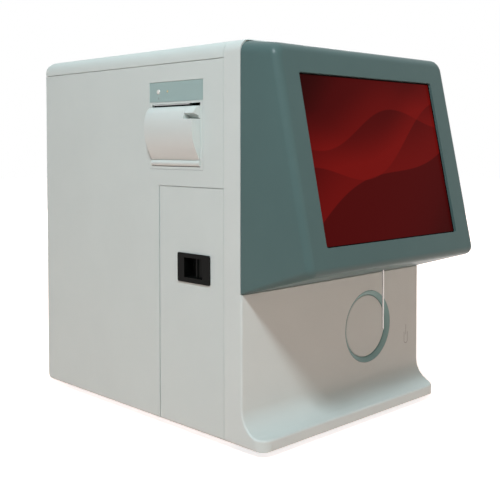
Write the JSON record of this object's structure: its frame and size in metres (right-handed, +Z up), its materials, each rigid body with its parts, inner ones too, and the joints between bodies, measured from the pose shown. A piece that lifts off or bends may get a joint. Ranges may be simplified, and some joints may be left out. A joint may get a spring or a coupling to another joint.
{
  "type": "hematology analyzer",
  "caption": "Bench-top blood cell analyzer with a slanted touch display over a sampling probe, a round start key, a side label printer and a latched service door.",
  "frame": {"origin": "on the bench plane, under the middle of the whole object's box", "axes": "+X to the operator's right, +Y from the front to the rear, +Z up"},
  "size_m": [0.301, 0.4396, 0.3943],
  "materials": {
    "white_moulding": "fine satin moulding",
    "white_sheet": "fine textured powder coat",
    "teal_moulding": "satin",
    "teal_trim": "satin",
    "teal_strip": "satin film",
    "black_plastic": "satin",
    "dark_glass": "polished, lit from behind in dark red",
    "display_module": "plain",
    "steel": "ground",
    "zinc_sheet": "zinc plated",
    "aluminium": "satin",
    "rubber": "matt",
    "paper": "smooth thermal paper",
    "clear_plastic": "clear acrylic",
    "circuit_board": "solder mask",
    "white_cap": "satin",
    "lens": "diffused"
  },
  "bodies": {
    "case": {"front_housing": "white_moulding", "display_bezel": "teal_moulding", "touch_glass": "dark_glass", "lcd_module": "display_module", "display_bracket": "zinc_sheet", "top_cover": "white_sheet", "left_side_panel": "white_sheet", "right_side_panel": "white_sheet", "rear_panel": "white_sheet", "base_plate": "zinc_sheet", "foot_front_left": "rubber", "foot_front_right": "rubber", "foot_rear_left": "rubber", "foot_rear_right": "rubber", "chassis_plate": "zinc_sheet", "door_hinge_rail": "steel", "printer_frame": "white_moulding", "status_strip": "teal_strip", "status_board": "circuit_board", "status_led": "lens", "printer_bay": "black_plastic", "thermal_head": "black_plastic", "tear_bar": "steel", "key_ring": "teal_trim", "key_guide": "black_plastic", "lift_bracket": "zinc_sheet", "guide_rod_left": "steel", "guide_rod_right": "steel", "wash_block": "clear_plastic", "lift_motor": "black_plastic", "lift_belt": "rubber", "syringe_barrel": "clear_plastic", "syringe_drive": "black_plastic", "counting_bath": "clear_plastic", "valve_manifold": "clear_plastic", "solenoid_valves": "steel", "vacuum_pump": "black_plastic", "main_board": "circuit_board", "power_supply": "aluminium", "fan_frame": "black_plastic", "fan_guard": "steel", "power_inlet": "black_plastic", "reagent_ports": "black_plastic", "data_ports": "steel"},
    "door": {"side_door": "white_sheet", "latch_frame": "black_plastic"},
    "latch": {"latch_slider": "black_plastic"},
    "paper_cover": {"printer_cover": "white_moulding"},
    "platen": {"platen_roller": "rubber"},
    "lever": {"printer_lever": "white_moulding"},
    "roll": {"paper_roll": "paper"},
    "feed_button": {"status_button": "white_cap"},
    "start_key": {"aspirate_key": "white_moulding"},
    "probe": {"probe_carriage": "black_plastic", "sample_probe": "steel"},
    "upper_pulley": {"drive_pulley": "aluminium"},
    "lower_pulley": {"idler_pulley": "aluminium"},
    "plunger": {"syringe_plunger": "steel"},
    "fan": {"fan_rotor": "black_plastic"},
    "rocker": {"power_rocker": "black_plastic"}
  },
  "joints": [
    {"name": "door_hinge", "type": "hinge", "parent": "case", "child": "door", "pos_m": [-0.136, -0.02101, 0.14], "axis": [0, 0, -1], "range_deg": [0, 100]},
    {"name": "latch_slide", "type": "slide", "parent": "door", "child": "latch", "axis": [0, 1, 0], "range_m": [0, 0.006], "stiffness_N_per_m": 300},
    {"name": "paper_cover_hinge", "type": "hinge", "parent": "case", "child": "paper_cover", "pos_m": [-0.1381, -0.03656, 0.2758], "axis": [0, -1, 0], "range_deg": [0, 80]},
    {"name": "platen_spin", "type": "hinge", "parent": "paper_cover", "child": "platen", "pos_m": [-0.139, -0.03656, 0.325], "axis": [0, 1, 0], "continuous": true},
    {"name": "release_lever_hinge", "type": "hinge", "parent": "case", "child": "lever", "pos_m": [-0.139, -0.07466, 0.3227], "axis": [0, -1, 0], "range_deg": [0, 15], "stiffness_Nm_per_rad": 0.05},
    {"name": "paper_roll_spin", "type": "hinge", "parent": "case", "child": "roll", "pos_m": [-0.1125, -0.03656, 0.298], "axis": [0, 1, 0], "continuous": true},
    {"name": "feed_button_press", "type": "slide", "parent": "case", "child": "feed_button", "axis": [1, 0, 0], "range_m": [0, 0.001], "stiffness_N_per_m": 400},
    {"name": "start_key_press", "type": "slide", "parent": "case", "child": "start_key", "axis": [0, 1, 0], "range_m": [0, 0.003], "stiffness_N_per_m": 400},
    {"name": "probe_lift", "type": "slide", "parent": "case", "child": "probe", "axis": [0, 0, 1], "range_m": [0, 0.062]},
    {"name": "upper_pulley_spin", "type": "hinge", "parent": "case", "child": "upper_pulley", "pos_m": [0.0825, -0.14971, 0.246], "axis": [0, 1, 0], "range_deg": [0, 330]},
    {"name": "lower_pulley_spin", "type": "hinge", "parent": "case", "child": "lower_pulley", "pos_m": [0.0825, -0.14971, 0.182], "axis": [0, 1, 0], "range_deg": [0, 330]},
    {"name": "syringe_stroke", "type": "slide", "parent": "case", "child": "plunger", "axis": [0, 0, -1], "range_m": [0, 0.028]},
    {"name": "fan_spin", "type": "hinge", "parent": "case", "child": "fan", "pos_m": [0.0755, 0.19219, 0.276], "axis": [0, 1, 0], "continuous": true},
    {"name": "mains_rocker", "type": "hinge", "parent": "case", "child": "rocker", "pos_m": [0.1065, 0.20579, 0.056], "axis": [1, 0, 0], "range_deg": [0, 14]}
  ],
  "couplings": [
    {"joint": "upper_pulley_spin", "follows": "probe_lift", "rad_per_m": 91.743},
    {"joint": "lower_pulley_spin", "follows": "probe_lift", "rad_per_m": 91.743}
  ]
}
